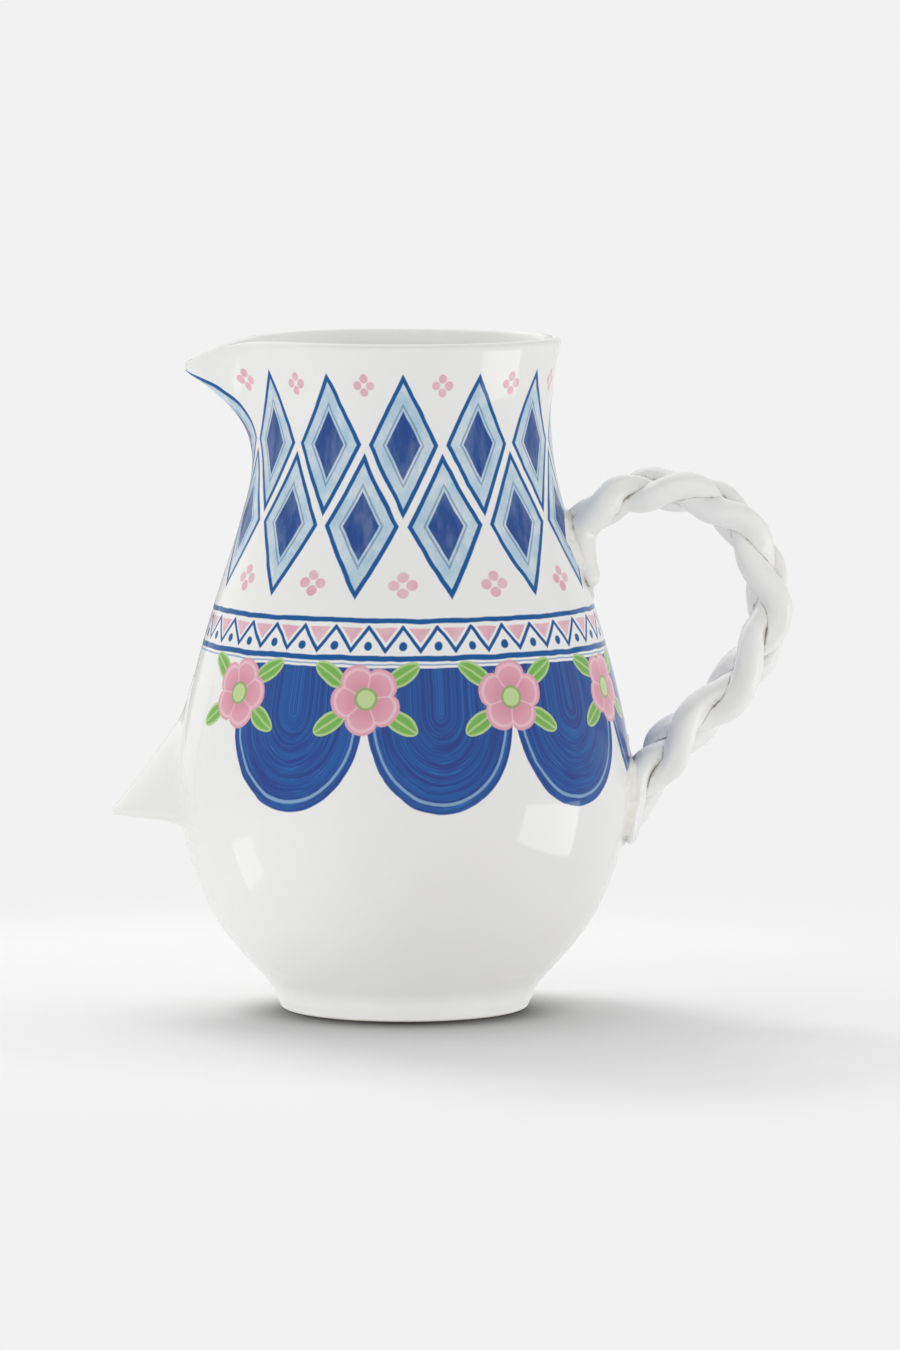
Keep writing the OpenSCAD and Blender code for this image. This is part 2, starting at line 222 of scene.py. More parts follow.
# The thrown wall waves a little in and out
ripple_width, ripple_height, ripple_depth = 34, 22, 0.12
ripple = np.array([noise.noise(p) for p in (rings / [ripple_width, ripple_width, ripple_height]).tolist()])
plan = np.linalg.norm(rings[:, :2], axis=1)[:, None]
rings[:, :2] -= rings[:, :2] / plan * (ripple_depth * (1 + ripple[:, None]))
tips = [[0, 0, foot_height + base_sag], [0, 0, floor_z]]
vessel = mesh_piece("vessel", np.concatenate([rings, tips]),
                    tube_faces(len(rings) // vessel_columns, vessel_columns))


class Paint:
    """A value in a material. Arithmetic on it adds the nodes for it, and add() adds any other node."""

    def __init__(self, tree, socket=None):
        self.tree = tree
        self.socket = socket

    def add(self, kind, settings, values, out=0):
        node = self.tree.nodes.new(kind)
        for name, value in settings.items():
            setattr(node, name, value)
        for key, value in values.items():
            if isinstance(value, Paint):
                self.tree.links.new(value.socket, node.inputs[key])
            else:
                node.inputs[key].default_value = value
        return Paint(self.tree, node.outputs[out])

    def math(self, operation, *values):
        return self.add("ShaderNodeMath", {"operation": operation}, dict(enumerate(values)))

    def __add__(self, other):
        return self.math("ADD", self, other)

    def __radd__(self, other):
        return self.math("ADD", other, self)

    def __sub__(self, other):
        return self.math("SUBTRACT", self, other)

    def __rsub__(self, other):
        return self.math("SUBTRACT", other, self)

    def __mul__(self, other):
        return self.math("MULTIPLY", self, other)

    def __rmul__(self, other):
        return self.math("MULTIPLY", other, self)

    def __truediv__(self, other):
        return self.math("DIVIDE", self, other)

    def __abs__(self):
        return self.math("ABSOLUTE", self)

    def least(self, other):
        return self.math("MINIMUM", self, other)

    def most(self, other):
        return self.math("MAXIMUM", self, other)

    def root(self):
        return self.math("SQRT", self.most(0))

    def round(self):
        return self.math("ROUND", self)

    def whole(self):
        return self.math("FLOOR", self)

    def parts(self):
        """The x, y and z of this vector."""
        return [Paint(self.tree, out) for out in
                self.add("ShaderNodeSeparateXYZ", {}, {0: self}).socket.node.outputs]

    def rise(self, low, high):
        """0 below low, 1 above high and a soft step between."""
        return self.add("ShaderNodeMapRange", {"interpolation_type": "SMOOTHSTEP"},
                        {"Value": self, "From Min": low, "From Max": high})

    def spots(self, scale, detail=2.0, rough=0.5):
        """Cloudy noise from 0 to 1 over this vector."""
        return self.add("ShaderNodeTexNoise", {},
                        {"Vector": self, "Scale": scale, "Detail": detail, "Roughness": rough})

    def vector(self, operation, values, out=0):
        """A vector operation on this vector and another."""
        return self.add("ShaderNodeVectorMath", {"operation": operation}, {0: self, 1: values}, out)

    def mixed(self, first, second):
        """The second colour laid over the first, with this as the share."""
        return self.add("ShaderNodeMix", {"data_type": "RGBA"}, {0: self, 6: first, 7: second}, 2)

    def over(self, share, colour):
        """This colour with another laid over it, by a share."""
        return share.mixed(self, colour)


def tint(code):
    """The colour that a code such as #1a5a9a stands for, as linear values."""
    parts = [int(code[k:k + 2], 16) / 255 for k in (1, 3, 5)]
    return [v / 12.92 if v < 0.04045 else ((v + 0.055) / 1.055) ** 2.4 for v in parts] + [1]


def new_paint(name):
    """A new material, its shader, and the place on the piece in metres as a vector."""
    material = bpy.data.materials.new(name)
    material.use_nodes = True
    shader = material.node_tree.nodes["Principled BSDF"]
    place = Paint(material.node_tree).add("ShaderNodeTexCoord", {}, {}, 3)
    return material, shader, place


glaze_ior, glaze_mirror = 1.45, 0.3


def glaze(shader, place, colour, rough=0.04, wave=0.00012):
    """Finishes a material as clear glaze over a colour: glossy, slightly wavy, with fine pinholes."""
    shader.inputs["IOR"].default_value = glaze_ior
    shader.inputs["Specular IOR Level"].default_value = glaze_mirror
    tree = shader.id_data
    uneven = place.spots(55, 3)
    tree.links.new((rough + 0.05 * uneven).socket, shader.inputs["Roughness"])
    tree.links.new(colour.socket, shader.inputs["Base Color"])
    pits = place.spots(900, 1).rise(0.74, 0.8)
    height = place.spots(38, 2) + 0.12 * place.spots(210, 2) - 0.25 * pits
    bump = place.add("ShaderNodeBump", {}, {"Strength": 1.0, "Distance": wave, "Height": height})
    tree.links.new(bump.socket, shader.inputs["Normal"])


def clay_white(place, code="#f1f1ef"):
    """White glaze with faint warm and cool clouds."""
    warm = place.spots(16, 2).rise(0.45, 0.75)
    cool = place.vector("ADD", (0.3, 0.1, 0.7)).spots(23, 2).rise(0.5, 0.8)
    return (0.4 * warm).mixed(tint(code), tint("#f0eee9")).over(0.35 * cool, tint("#edeef0"))


# The painting is laid out in millimetres and in degrees from the spout, with the wobble of a hand
material, shader, place = new_paint("painted_glaze")
x_at, y_at, z_at = (part * 1000 for part in place.parts())
wobble = place.spots(75, 2) - 0.5
wobble_more = place.spots(260, 1) - 0.5
r_at = (x_at * x_at + y_at * y_at).root()
turn_at = abs(x_at.math("ARCTAN2", y_at, -1 * x_at)) * (180 / math.pi) + 1.3 * wobble
z_hand = z_at + 1.5 * wobble + 0.35 * wobble_more


def line(distance, half, soft=0.22):
    """A brushed line of the given half width, from the distance to its middle."""
    return 1 - abs(distance).rise(half - soft, half + soft)


def patch(inset, soft=0.22):
    """A brushed patch, from the depth inside its edge."""
    return inset.rise(-soft, soft)


# Neck pattern: a harlequin of tall lozenges, washed pale blue and outlined in dark blue
cell_turn, cell_half_h, cell_low_z = 15, 28, 148.5
cell_half_w = 12.6
across = turn_at / cell_turn
upward = (z_hand - cell_low_z) / cell_half_h
rise_p, fall_q = (across + upward) / 2, (across - upward) / 2
cell_p, cell_q = rise_p.round(), fall_q.round()
inset = 2 * cell_half_w * (0.5 - abs(rise_p - cell_p).most(abs(fall_q - cell_q)))
row = cell_p - cell_q
whole_cell = patch(1.1 - abs(row - 1.5), 0.1)
outlined = line(inset - 2.0, 0.75) * whole_cell
washed = patch(inset - 2.3) * whole_cell
heart = patch(inset - 7.2) * whole_cell
heart_line = line(inset - 6.2, 0.3, 0.2) * whole_cell
cloud = place.spots(120, 4, 0.65).rise(0.3, 0.75)
brushed = place.vector("MULTIPLY", (260, 260, 60)).spots(1, 3, 0.6).rise(0.35, 0.7)

# Small pink crosses of four petals in the half cells above and below the lozenges
cell_step_w, low_cross_z, high_cross_z = 14.4, 156.5, 225.5
cross_u = (across - cell_p - cell_q) * cell_step_w
low_v, high_v = z_hand - low_cross_z, z_hand - high_cross_z


def four_petals(u, v, reach, radius):
    """The inset of four round petals in a cross."""
    au, av = abs(u), abs(v)
    far, near = au.most(av) - reach, au.least(av)
    return radius - (far * far + near * near).root()


half_cell = 1 - whole_cell
pink_dots = patch(four_petals(cross_u, low_v, 2.7, 1.75)) + patch(four_petals(cross_u, high_v, 2.4, 1.55))
pink_dots = (pink_dots * half_cell).least(1)

# A narrow band of zigzag between two blue lines, with pink above the points and blue dots below
band_low, band_high = 131.5, 144.3
tooth_turn, tooth_height, tooth_half_w = 10, 8, 5.9
tooth = turn_at / tooth_turn
tooth_share = abs(tooth - tooth.whole() - 0.5) * 2
zig = (z_hand - band_low - 2.6 - tooth_height * tooth_share) * 0.6
band_lines = line(z_hand - band_high, 0.85).most(line(z_hand - band_low, 0.95))
thin_line = line(z_hand - band_low + 2.0, 0.28, 0.2)
in_band = patch(z_hand - band_low - 1.6) * patch(band_high - 1.5 - z_hand)
zigzag = line(zig, 0.62) * in_band
band_pink = patch(zig - 1.5) * in_band * patch(band_high - 2.4 - z_hand)
drop_u = (1 - tooth_share) * tooth_half_w
drop_v = (z_hand - band_low - 4.1) * 0.9
band_drops = patch(1.35 - (drop_u * drop_u + drop_v * drop_v).root())

# Below the band hang cobalt festoons, each brushed in arcs, with pink flowers where two meet
bare_turn, lobe_turn = 40, 40
cusp_z, lobe_depth, lobe_half_w = 113, 36, 27
lobe = (turn_at - bare_turn) / lobe_turn
lobe_no = lobe.whole()
lobe_at = 2 * (lobe - lobe_no) - 1
fallen = (cusp_z - z_hand).most(0) / lobe_depth
swell = (lobe_at * lobe_at + fallen * fallen).root()
lobe_inset = (1 - swell) * lobe_half_w
on_side = patch(turn_at - bare_turn, 0.3) * patch(band_low - 3.1 - z_hand)
festoon = patch(lobe_inset - 0.5) * on_side
reserve = line(lobe_inset - 3.1, 0.42) * on_side
brush_at = place.add("ShaderNodeCombineXYZ", {}, {0: turn_at / 22, 1: swell * 19, 2: lobe_no * 5})
streaks = brush_at.spots(1, 4, 0.6)
fine_streaks = brush_at.spots(3.1, 3, 0.6)

# A flower at each cusp: five petals round a green heart, with four leaves
flower_z = 117.5
petal_low_r, petal_rise = 9.2, 3.4
nearest = lobe.round().most(0)
flower_u = (turn_at - bare_turn - lobe_turn * nearest) * r_at * (math.pi / 180)
flower_v = z_hand - flower_z
reach = (flower_u * flower_u + flower_v * flower_v).root()
ray = flower_u.math("ARCTAN2", flower_v, flower_u) + 0.5 * nearest
five_petals = abs(ray.math("COSINE", 2.5 * ray))
petal_inset = petal_low_r + petal_rise * five_petals.root() - reach
flower = patch(petal_inset)
flower_vein = line(five_petals * reach, 0.55, 0.5) * patch(10 - reach, 2)
petal_edge = line(petal_inset - 1.6, 0.55, 0.4)
petal_blush = patch(6.8 - reach, 3)
heart_dot = patch(3.2 - reach)
heart_ring = line(reach - 3.6, 0.45, 0.3)
leaf_lean = math.radians(33)
leaf_middle, leaf_half_l, leaf_half_w = 15.2, 6.8, 3.5
leaf_u = abs(flower_u) * math.cos(leaf_lean) + abs(flower_v) * math.sin(leaf_lean)
leaf_v = abs(flower_v) * math.cos(leaf_lean) - abs(flower_u) * math.sin(leaf_lean)
leaf_share = (leaf_u - leaf_middle) / leaf_half_l
leaf_body = leaf_half_w * (1 - leaf_share * leaf_share).root() - abs(leaf_v)
leaf = patch(leaf_body - 0.2) * patch(1 - abs(leaf_share), 0.05)
leaf_vein = line(leaf_v, 0.35, 0.3) * patch(leaf_body - 0.8)
leaf_edge = leaf * (1 - patch(leaf_body - 1.0, 0.35))

# Only the outside is painted: there the surface faces away from the axis
facing = place.add("ShaderNodeNewGeometry", {}, {}, 1)
outside = facing.vector("DOT_PRODUCT", place.vector("MULTIPLY", (1000, 1000, 0)), 1).rise(0, 6)
pale_blue = tint("#a4c6da")
deep_blue = tint("#00579b")
cobalt = tint("#00529e")
dark_cobalt = tint("#0a3587")
pink = tint("#e3a5b5")
rose = tint("#d3819a")
pale_pink = tint("#efccd3")
green = tint("#79b555")
light_green = tint("#c2d99c")
skin = clay_white(place).over(washed * (0.97 - 0.5 * cloud - 0.2 * brushed), pale_blue)
skin = skin.over(outlined, deep_blue).over(heart_line * 0.55, deep_blue)
skin = skin.over(heart * (0.97 - 0.12 * brushed), tint("#033e8c"))
skin = skin.over(pink_dots * (0.95 - 0.35 * cloud), pink)
skin = skin.over(band_pink * (0.95 - 0.35 * cloud), pink).over(zigzag.most(band_drops), deep_blue)
skin = skin.over(band_lines, deep_blue).over(thin_line * 0.7, tint("#4a86bd"))
stroke = streaks.rise(0.35, 0.65).mixed(cobalt, dark_cobalt)
stroke = stroke.over(fine_streaks.rise(0.52, 0.72) * 0.75, tint("#1a74bc"))
skin = skin.over(festoon * 0.98, stroke).over(reserve * 0.8, tint("#8fb6d6"))
skin = skin.over(leaf, green).over(leaf_edge * 0.8, light_green).over(leaf_vein * 0.8, light_green)
skin = skin.over(flower, pink).over(petal_edge * 0.75, pale_pink).over(petal_blush * 0.45, rose)
skin = skin.over(flower_vein * 0.8, pale_pink)
skin = skin.over(heart_dot, light_green).over(heart_ring * 0.8, green)
# Where the surface does not face outward, as inside the mouth, the glaze is a whiter white than outside: a
# painted brightening of the shaded inside.
glaze(shader, place, clay_white(place, "#fbfbf9").over(outside, skin))
vessel.data.materials.append(material)
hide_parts("body")
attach(vessel, "root")

# The foot ring: turned on the underside, glazed down its side to a soft bead in the junction, and
# wiped bare where it stands in the kiln, so a ring of rough pale clay shows there.
foot_base_r = 44.6
foot_hollow_r = 37.5
foot_hollow_z, foot_bevel_z = 8.2, 5
foot_edge_r = 1.8
foot_side = [45.8, 3.8]
join_z = 14
join_steps = 20
foot_columns = 240
foot_wave = 0.12


def foot_arc(centre_r, centre_z, start, end, steps=8):
    """A rounded edge of the foot, from one angle to another."""
    turns = np.radians(np.linspace(start, end, steps))
    return [[centre_r + foot_edge_r * math.cos(a), centre_z + foot_edge_r * math.sin(a)] for a in turns]


def bend(a, b, c, steps):
    """A soft bend from a to c that leans towards b."""
    return [[between(between(a[k], b[k], t), between(b[k], c[k], t), t) for k in range(2)]
            for t in np.linspace(0, 1, steps)]


# Above the junction the ring's top edge sinks gently under the wall
join_lean = (wall_r(join_z + 1) - wall_r(join_z - 1)) / 2
join_r = float(wall_r(join_z)) + 0.02
corner_z = join_z - (join_r - foot_top_r) / join_lean
top_sinks = ((0.8, 0.05), (1.6, 0.12), (2.4, 0.22), (3.2, 0.4))
profile = (foot_arc(foot_base_r - foot_edge_r, foot_edge_r, -90, 0)
           + bend(foot_side, [foot_top_r, corner_z], [join_r, join_z], join_steps)
           + [[float(wall_r(join_z + up)) - sunk, join_z + up] for up, sunk in top_sinks]
           + [[join_r - 2, join_z], [45, 11.2], [38.4, 9.2]]
           + [[foot_hollow_r, foot_hollow_z], [foot_hollow_r, foot_bevel_z]]
           + foot_arc(foot_hollow_r + foot_edge_r, foot_edge_r, 180, 270))
foot_points = []
for a in 2 * np.pi * np.arange(foot_columns) / foot_columns:
    lumpy = foot_wave * noise.noise((3 * math.cos(a), 3 * math.sin(a), 1.7))
    for r, z in profile:
        shift = lumpy * min(1, z / 3)
        foot_points.append([(r + shift) * math.cos(a), (r + shift) * math.sin(a), z])
n = len(profile)
foot_faces = [(i * n + k, ((i + 1) % foot_columns) * n + k, ((i + 1) % foot_columns) * n + (k + 1) % n,
               i * n + (k + 1) % n) for i in range(foot_columns) for k in range(n)]
foot = mesh_piece("foot_ring_glazed", foot_points, foot_faces)
material, shader, place = new_paint("foot_glaze")
height = place.parts()[2] * 1000
edge_wander = 0.5 * (place.spots(130, 3) - 0.5)
bare = 1 - (height + edge_wander).rise(0.25, 0.6)
# Below the junction the glaze is painted whiter towards the ground, a painted brightening of the low foot's
# shade.
colour = clay_white(place).over((11.5 - height).rise(0, 6), tint("#fcfcfa")).over(bare, tint("#e9e3d8"))
glaze(shader, place, colour)
place.tree.links.new((0.08 + 0.62 * bare).socket, shader.inputs["Roughness"])
foot.data.materials.append(material)
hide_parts("foot_ring")
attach(foot, "root")

# The nose: a wedge of clay modelled by hand, stuck on with slip and smoothed into the wall, so that
# its edges run out softly under the glaze.
nose_under_z = 68
nose_height = 44
nose_reach = 23.4
nose_half_w, nose_top_half_w = 27, 6
nose_tip_z = nose_under_z + 3.6
nose_top_z = nose_under_z + nose_height
nose_fillet_r = 5
nose_blend = 4
ridge_round = 0.13
nose_lump = 0.14
under_low_z, under_z, under_high_z = nose_under_z - 0.5, nose_under_z + 0.6, nose_under_z + 1.4
nose_side_w, nose_columns = 36, 181
sheet_sunk = 1.6


def soft_most(a, b, blend):
    """The larger of two values, rounded over where they meet."""
    share = np.clip(0.5 + 0.5 * (a - b) / blend, 0, 1)
    return between(b, a, share) + blend * share * (1 - share) / 2


def nose_flank(z, across):
    """How far the nose stands out from the wall, without its underside."""
    rise = np.clip((z - nose_tip_z) / (nose_top_z - nose_tip_z), 0, 1)
    tip_r, top_r = wall_r(nose_tip_z) + nose_reach, wall_r(nose_top_z)
    ridge = between(top_r, tip_r, (1 - rise) ** 1.25) - wall_r(z)
    ridge = np.where(z < nose_top_z, ridge, 0.12 * (nose_top_z - z))
    half_w = between(nose_half_w, nose_top_half_w, np.clip((z - nose_under_z) / nose_height, 0, 1))
    x, e = across / half_w, ridge_round
    tent = 1 - (np.sqrt(x * x + e * e) - e) / (math.sqrt(1 + e * e) - e)
    side = np.where(tent > 0, np.maximum(ridge, 0) * np.abs(tent) ** 1.2, tent * 18)
    return np.where(ridge > 0, side, np.minimum(side, ridge))


# A grid of heights and widths over the nose, finest where its sides turn under
nose_rows = np.concatenate([np.linspace(nose_under_z - nose_fillet_r - 2, under_low_z, 44)[:-1],
                            np.linspace(under_low_z, under_high_z, 40)[:-1],
                            np.linspace(under_high_z, nose_top_z + 8, 120)])
nose_across = np.linspace(-nose_side_w, nose_side_w, nose_columns)
zz, ww = np.meshgrid(nose_rows, nose_across, indexing="ij")
full = nose_flank(np.maximum(zz, under_z), ww)
above = full * np.clip((zz - nose_under_z) / 1.1, 0, 1) ** 0.45
fillet_r = np.clip(nose_flank(np.full_like(zz, under_z), ww), 0.01, nose_fillet_r)
depth = np.clip((nose_under_z + 0.05 - zz) / fillet_r, 0, 1)
below = fillet_r * (1 - np.sqrt(np.maximum(0, 1 - (1 - depth) ** 2)))
stand = np.where(zz > nose_under_z, np.maximum(above, np.minimum(fillet_r, full)), below)
stand = soft_most(stand, np.zeros_like(zz), nose_blend * np.clip((zz - nose_under_z) / 6, 0.12, 1)) - 0.06
lumps = np.array([noise.noise((z / 14, w / 14, 4.2)) for z, w in zip(zz.ravel(), ww.ravel())])
stand = stand + nose_lump * lumps.reshape(zz.shape) * np.clip(stand / 3, 0, 1)
for _ in range(3):
    stand[1:-1, 1:-1] = (stand[:-2, 1:-1] + 2 * stand[1:-1, 1:-1] + stand[2:, 1:-1]) / 8 + (
        stand[1:-1, :-2] + 2 * stand[1:-1, 1:-1] + stand[1:-1, 2:]) / 8
border = np.minimum.reduce([zz - zz.min(), zz.max() - zz, ww - ww.min(), ww.max() - ww])
stand = np.where(border < 1, np.minimum(stand, -0.35 - 0.4 * (1 - border)), stand)
turn = ww / wall_r(zz)
front_r = wall_r(zz) + stand
front = np.stack([-front_r * np.cos(turn), -front_r * np.sin(turn), zz], axis=2).reshape(-1, 3)
back_r = wall_r(zz) - sheet_sunk
back = np.stack([-back_r * np.cos(turn), -back_r * np.sin(turn), zz], axis=2).reshape(-1, 3)


def sheet_faces(rows, columns, count):
    """Faces of a closed sheet: its front, its back and the strip round its border."""
    faces = []
    for k in range(rows - 1):
        for i in range(columns - 1):
            a = k * columns + i
            quad = (a, a + columns, a + columns + 1, a + 1)
            faces.append(quad)
            faces.append(tuple(count + v for v in quad[::-1]))
    rim = (list(range(columns)) + [k * columns + columns - 1 for k in range(1, rows)]
           + [(rows - 1) * columns + i for i in range(columns - 2, -1, -1)]
           + [k * columns for k in range(rows - 2, 0, -1)])
    for a, b in zip(rim, rim[1:] + rim[:1]):
        faces.append((a, b, count + b, count + a))
    return faces


nose = mesh_piece("nose_modelled", np.concatenate([front, back]),
                  sheet_faces(zz.shape[0], zz.shape[1], len(front)))
material, shader, place = new_paint("nose_glaze")
glaze(shader, place, clay_white(place))
nose.data.materials.append(material)
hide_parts("nose")
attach(nose, "root")

# The handle: three ropes of clay rolled by hand and plaited while soft, so that each is pressed flat
# where it meets the next. The first rope's ends run down the neck and the belly as tails.
handle_top_z, handle_low_z = 171.6, 83
handle_reach = 60
upper_tail_h, lower_tail_h = 20.4, 24
plait_half_w = 6.3
weave = 4.5
strand_thick, strand_edge_thick, strand_breadth = 8.2, 10.2, 10
luting_thick = 1.2
root_stand_off = luting_thick + weave
low_stand_off = luting_thick + 0.65 * strand_thick
upper_tail_share, lower_tail_share = 0.8, 0.55
tail_stand_off = 2.0
loop_shares = [[0.12, 1.075], [0.305, 1.138], [0.5, 1.157], [0.73, 1.125], [0.88, 1.05], [0.965, 0.93],
               [0.99, 0.79], [0.965, 0.68], [0.89, 0.565], [0.755, 0.447], [0.57, 0.33],
               [0.38, 0.232], [0.175, 0.125]]


def on_wall(z, off):
    """A point that stands off the wall at a height."""
    return [float(wall_r(z)) + off, z]


upper_root = on_wall(handle_top_z, root_stand_off)
lower_root = on_wall(handle_low_z, low_stand_off)
plait_stations = (
    [on_wall(handle_top_z - upper_tail_h, tail_stand_off),
     on_wall(handle_top_z - upper_tail_h / 2, tail_stand_off), upper_root]
    + [[between(lower_root[0], upper_root[0], h) + handle_reach * s,
        between(handle_low_z, handle_top_z, h)] for s, h in loop_shares]
    + [lower_root, on_wall(handle_low_z - lower_tail_h / 2, tail_stand_off),
       on_wall(handle_low_z - lower_tail_h, tail_stand_off)])
station_steps = 24
plait_line = curve(plait_stations, station_steps)
plait_last = len(plait_line) - 1
plait_run = np.concatenate([[0], np.cumsum(np.linalg.norm(np.diff(plait_line, axis=0), axis=1))])
upper_root_i = 2 * station_steps
lower_root_i = plait_last - 2 * station_steps
leave_i = upper_root_i + station_steps
plait_along = np.gradient(plait_line, axis=0)
plait_along /= np.linalg.norm(plait_along, axis=1)[:, None]
plaited = np.maximum(0, (plait_run - plait_run[upper_root_i])
                     / (plait_run[lower_root_i] - plait_run[upper_root_i]))
turn_shares = [[0, 240], [0.05, 277], [0.19, 388], [0.33, 505], [0.51, 632], [0.69, 750], [0.89, 868],
               [1, 945], [1.15, 990]]
turn_curve = curve(turn_shares, 8)
settled_share = 0.09
root_lift = 1.1
strand_first = [0, upper_root_i - station_steps // 2, upper_root_i - station_steps // 2]
strand_last = [plait_last, plait_last - station_steps // 2, plait_last - station_steps * 5 // 4]


def strand_frame(strand):
    """The middle line of one strand, the plait's outward direction along it, and its phase."""
    phase = np.radians(np.interp(plaited, turn_curve[:, 0], turn_curve[:, 1]) - 120 * strand)
    middle, along = plait_line.copy(), plait_along.copy()
    from_low = (plait_run[-1] - plait_run) / (plait_run[-1] - plait_run[lower_root_i])
    calm = np.minimum(1, from_low)
    if strand == 0:
        calm = np.minimum(calm, np.clip(plaited / settled_share, 0, 1))
    else:
        back = (plait_run[leave_i] - plait_run[:leave_i])[:, None]
        middle[:leave_i] = plait_line[leave_i] - plait_along[leave_i] * back
        along[:leave_i] = plait_along[leave_i]
    out = np.stack([-along[:, 1], along[:, 0]], axis=1)
    swell = between(0.66, 1, np.minimum(1, plaited))
    lift = -weave * swell * calm * np.sin(2 * phase)
    if strand == 0:
        near_root = root_lift * np.clip(1 - plaited / settled_share, 0, 1)
        lift = lift + near_root * np.clip(plait_run / plait_run[upper_root_i], 0, 1)
    flat = middle + lift[:, None] * out
    points = np.stack([flat[:, 0], plait_half_w * np.sin(phase), flat[:, 1]], axis=1)
    return points, np.stack([out[:, 0], np.zeros(len(out)), out[:, 1]], axis=1), phase


strand_sides = 48
end_length, end_round, end_least = 6.5, 2.6, 0.03
first_root_swell, other_root_swell = 1.06, 0.9
near_steps = 56
press_lap = 0.2
lump_size, small_lump_size = 8.5, 3.1
lump_depth, fold_depth, skin_shrink = 0.45, 0.19, 0.08
crease_size, crease_fill, crease_change = 7, 2.6, 5.0
crease_least, crease_most = 0.7, 4.2


def strand_shape(strand):
    """Middle points of one strand, its two half axes at each point, and how far along the plait it is."""
    ids = np.arange(strand_first[strand], strand_last[strand] + 1)
    points, outward, phase = (part[ids] for part in strand_frame(strand))
    run = plait_run[ids]
    along = np.gradient(points, axis=0)
    along /= np.linalg.norm(along, axis=1)[:, None]
    out = outward - along * (outward * along).sum(axis=1)[:, None]
    out /= np.linalg.norm(out, axis=1)[:, None]
    across = np.cross(along, out)
    edge = np.sin(phase) ** 2
    from_end = np.minimum(run - run[0], run[-1] - run)
    taper = np.sqrt(np.maximum(end_least ** 2, 1 - (1 - np.clip(from_end / end_length, 0, 1)) ** end_round))
    from_tail = np.clip(run / plait_run[upper_root_i], 0, 1) if strand == 0 else 1
    from_low = np.clip((plait_run[-1] - run) / (plait_run[-1] - plait_run[lower_root_i]), 0, 1)
    flat = between(upper_tail_share, 1, from_tail) * between(lower_tail_share, 1, from_low)
    root_swell = first_root_swell if strand == 0 else other_root_swell
    swell = between(root_swell, 1, np.minimum(1, plaited[ids] * 4))
    half_out = between(strand_thick, strand_edge_thick, edge) / 2 * taper * flat * swell
    half_across = between(strand_breadth, strand_edge_thick, edge) / 2 * taper
    return points, half_out[:, None] * out, half_across[:, None] * across, run


strand_shapes = [strand_shape(k) for k in range(3)]


def beyond(spots, strand, middle_id):
    """How far spots lie outside a strand, looking only at its points near one place along the plait."""
    first, last = strand_first[strand], strand_last[strand]
    low, high = max(first, middle_id - near_steps) - first, min(last, middle_id + near_steps) + 1 - first
    if high - low < 4:
        return np.full(len(spots), 99.0)
    points, out, across, _ = (part[low:high] for part in strand_shapes[strand])
    nearest = ((spots[:, None] - points[None]) ** 2).sum(axis=2).argmin(axis=1)
    spoke = spots - points[nearest]
    a = (spoke * out[nearest]).sum(axis=1) / (out[nearest] ** 2).sum(axis=1)
    b = (spoke * across[nearest]).sum(axis=1) / (across[nearest] ** 2).sum(axis=1)
    length = np.linalg.norm(spoke, axis=1)
    return length - length / np.maximum(np.sqrt(a * a + b * b), 1e-3)


def soft_least(a, b, blend):
    """The smaller of two distances, filled in over the given reach where they are alike."""
    near = np.maximum(blend - np.abs(a - b), 0) / blend
    return np.minimum(a, b) - near * near * blend / 4


def strand_rings(strand):
    """Rings of points round one strand: squeezed flat on its neighbours, with the creases half filled."""
    points, out, across, run = strand_shapes[strand]
    turns = 2 * np.pi * np.arange(strand_sides) / strand_sides
    others = [k for k in range(3) if k != strand]
    rings = []
    for i, here in enumerate(points):
        spoke = np.cos(turns)[:, None] * out[i] + np.sin(turns)[:, None] * across[i]
        reach = np.linalg.norm(spoke, axis=1)
        skin = [Vector(spot) for spot in (here + spoke).tolist()]
        lumps = np.array([noise.noise(spot / lump_size) + 0.4 * noise.noise(spot / small_lump_size)
                          for spot in skin])
        creases = np.array([noise.noise(spot / crease_size + Vector((5, 3, 1))) for spot in skin])
        folds = np.cos(3 * turns + run[i] / 7 + 2 * strand) + 0.6 * np.cos(5 * turns - run[i] / 11)
        swollen = lump_depth * lumps + fold_depth * folds * min(1, reach.max() / 3) - skin_shrink
        blend = np.clip(crease_fill + crease_change * creases, crease_least, crease_most)
        low, high = np.zeros(strand_sides), np.full(strand_sides, 1.7)
        for _ in range(12):
            middle = (low + high) / 2
            spots = here + middle[:, None] * spoke
            own = (middle - 1) * reach
            rest = [beyond(spots, other, strand_first[strand] + i) for other in others]
            filled = soft_least(soft_least(own, rest[0], blend), rest[1], blend) - swollen
            outside = np.maximum(filled, own - np.minimum(rest[0], rest[1]) - press_lap) > 0
            low, high = np.where(outside, low, middle), np.where(outside, middle, high)
        ring = here + low[:, None] * spoke
        plan = np.linalg.norm(ring[:, :2], axis=1)
        ring[:, :2] *= (np.maximum(plan, wall_r(ring[:, 2]) - 0.3) / plan)[:, None]
        rings.append(ring)
    return np.array(rings)


